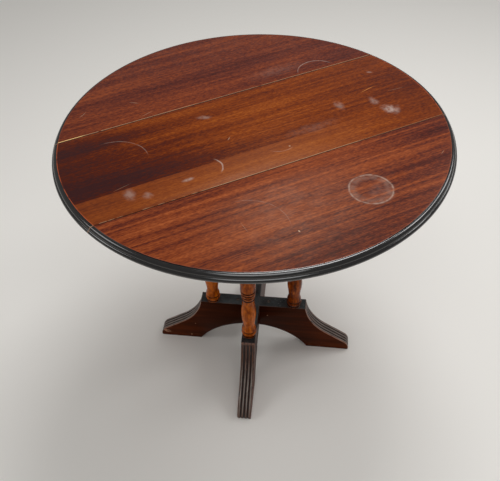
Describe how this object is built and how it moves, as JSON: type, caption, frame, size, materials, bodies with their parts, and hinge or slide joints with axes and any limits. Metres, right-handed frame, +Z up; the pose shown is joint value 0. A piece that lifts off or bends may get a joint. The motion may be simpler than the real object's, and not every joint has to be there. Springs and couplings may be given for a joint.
{
  "type": "round drop-leaf table",
  "caption": "Round drop-leaf dining table: a moulded top of three boards with two hinged leaves, turning on a pedestal of turned columns over a cross of reeded feet.",
  "frame": {"origin": "on the floor, under the middle of the round top", "axes": "+Z up; X along the two leaf joints; the near leaf is on the -Y side and the far leaf on the +Y side"},
  "size_m": [0.88, 0.88, 0.762],
  "materials": {
    "leaf_veneer": "satin lacquer over mahogany ribbon veneer",
    "centre_veneer": "satin lacquer over mahogany veneer, orange-brown",
    "ebonised_rim": "ebonised, glossy",
    "foot_wood": "dark stain, semi-gloss, worn on the reeds",
    "column_wood": "glossy orange-brown stain",
    "under_wood": "plain stained softwood, matt",
    "hinge_brass": "dull brass",
    "stay_steel": "zinc plated, dull",
    "steel": "dull steel",
    "felt": "matt"
  },
  "bodies": {
    "pedestal": {"foot_beam_lower": "foot_wood", "foot_beam_upper": "foot_wood", "foot_lap_screws": "steel", "column_front": "column_wood", "column_right": "column_wood", "column_back": "column_wood", "column_left": "column_wood", "head_beam_lower": "under_wood", "head_beam_upper": "under_wood", "head_screws": "steel", "felt_pads": "felt"},
    "tabletop": {"pivot_bolt": "steel", "pivot_washer": "steel", "pivot_nut": "steel", "pivot_block": "under_wood", "pivot_block_screws": "steel", "batten_left": "under_wood", "batten_right": "under_wood", "batten_screws": "steel", "centre_board": "centre_veneer", "centre_rim_left": "ebonised_rim", "centre_rim_right": "ebonised_rim", "near_centre_flaps": "hinge_brass", "far_centre_flaps": "hinge_brass", "near_hinge_pins": "hinge_brass", "far_hinge_pins": "hinge_brass", "centre_flap_screws": "hinge_brass", "centre_stay_brackets": "stay_steel", "centre_stay_pins": "stay_steel", "centre_bracket_screws": "stay_steel"},
    "near_leaf": {"near_leaf": "leaf_veneer", "near_leaf_rim": "ebonised_rim", "near_leaf_flaps": "hinge_brass", "near_flap_screws": "hinge_brass", "near_stay_brackets": "stay_steel", "near_stay_pins": "stay_steel", "near_bracket_screws": "stay_steel"},
    "near_left_inner_stay": {"near_left_inner_bar": "stay_steel", "near_left_rivet": "stay_steel"},
    "near_left_outer_stay": {"near_left_outer_bar": "stay_steel"},
    "near_right_inner_stay": {"near_right_inner_bar": "stay_steel", "near_right_rivet": "stay_steel"},
    "near_right_outer_stay": {"near_right_outer_bar": "stay_steel"},
    "far_leaf": {"far_leaf": "leaf_veneer", "far_leaf_rim": "ebonised_rim", "far_leaf_flaps": "hinge_brass", "far_flap_screws": "hinge_brass", "far_stay_brackets": "stay_steel", "far_stay_pins": "stay_steel", "far_bracket_screws": "stay_steel"},
    "far_left_inner_stay": {"far_left_inner_bar": "stay_steel", "far_left_rivet": "stay_steel"},
    "far_left_outer_stay": {"far_left_outer_bar": "stay_steel"},
    "far_right_inner_stay": {"far_right_inner_bar": "stay_steel", "far_right_rivet": "stay_steel"},
    "far_right_outer_stay": {"far_right_outer_bar": "stay_steel"}
  },
  "joints": [
    {"name": "top_swivel", "type": "hinge", "parent": "pedestal", "child": "tabletop", "pos_m": [0, 0, 0.72], "axis": [0, 0, 1], "continuous": true},
    {"name": "near_leaf_drop", "type": "hinge", "parent": "tabletop", "child": "near_leaf", "pos_m": [0, -0.147, 0.739], "axis": [1, 0, 0], "range_deg": [0, 90]},
    {"name": "near_left_inner_turn", "type": "hinge", "parent": "tabletop", "child": "near_left_inner_stay", "pos_m": [-0.225, -0.05897, 0.72029], "axis": [1, 0, 0], "range_deg": [0, 45]},
    {"name": "near_left_outer_turn", "type": "hinge", "parent": "near_leaf", "child": "near_left_outer_stay", "pos_m": [-0.225, -0.23503, 0.72029], "axis": [1, 0, 0], "range_deg": [-45, 0]},
    {"name": "near_right_inner_turn", "type": "hinge", "parent": "tabletop", "child": "near_right_inner_stay", "pos_m": [0.225, -0.05897, 0.72029], "axis": [1, 0, 0], "range_deg": [0, 45]},
    {"name": "near_right_outer_turn", "type": "hinge", "parent": "near_leaf", "child": "near_right_outer_stay", "pos_m": [0.225, -0.23503, 0.72029], "axis": [1, 0, 0], "range_deg": [-45, 0]},
    {"name": "far_leaf_drop", "type": "hinge", "parent": "tabletop", "child": "far_leaf", "pos_m": [0, 0.147, 0.739], "axis": [-1, 0, 0], "range_deg": [0, 90]},
    {"name": "far_left_inner_turn", "type": "hinge", "parent": "tabletop", "child": "far_left_inner_stay", "pos_m": [-0.225, 0.05897, 0.72029], "axis": [-1, 0, 0], "range_deg": [0, 45]},
    {"name": "far_left_outer_turn", "type": "hinge", "parent": "far_leaf", "child": "far_left_outer_stay", "pos_m": [-0.225, 0.23503, 0.72029], "axis": [-1, 0, 0], "range_deg": [-45, 0]},
    {"name": "far_right_inner_turn", "type": "hinge", "parent": "tabletop", "child": "far_right_inner_stay", "pos_m": [0.225, 0.05897, 0.72029], "axis": [-1, 0, 0], "range_deg": [0, 45]},
    {"name": "far_right_outer_turn", "type": "hinge", "parent": "far_leaf", "child": "far_right_outer_stay", "pos_m": [0.225, 0.23503, 0.72029], "axis": [-1, 0, 0], "range_deg": [-45, 0]}
  ],
  "couplings": [
    {"joint": "near_left_inner_turn", "follows": "near_leaf_drop", "ratio": 0.5},
    {"joint": "near_left_outer_turn", "follows": "near_leaf_drop", "ratio": -0.5},
    {"joint": "near_right_inner_turn", "follows": "near_leaf_drop", "ratio": 0.5},
    {"joint": "near_right_outer_turn", "follows": "near_leaf_drop", "ratio": -0.5},
    {"joint": "far_left_inner_turn", "follows": "far_leaf_drop", "ratio": 0.5},
    {"joint": "far_left_outer_turn", "follows": "far_leaf_drop", "ratio": -0.5},
    {"joint": "far_right_inner_turn", "follows": "far_leaf_drop", "ratio": 0.5},
    {"joint": "far_right_outer_turn", "follows": "far_leaf_drop", "ratio": -0.5}
  ]
}
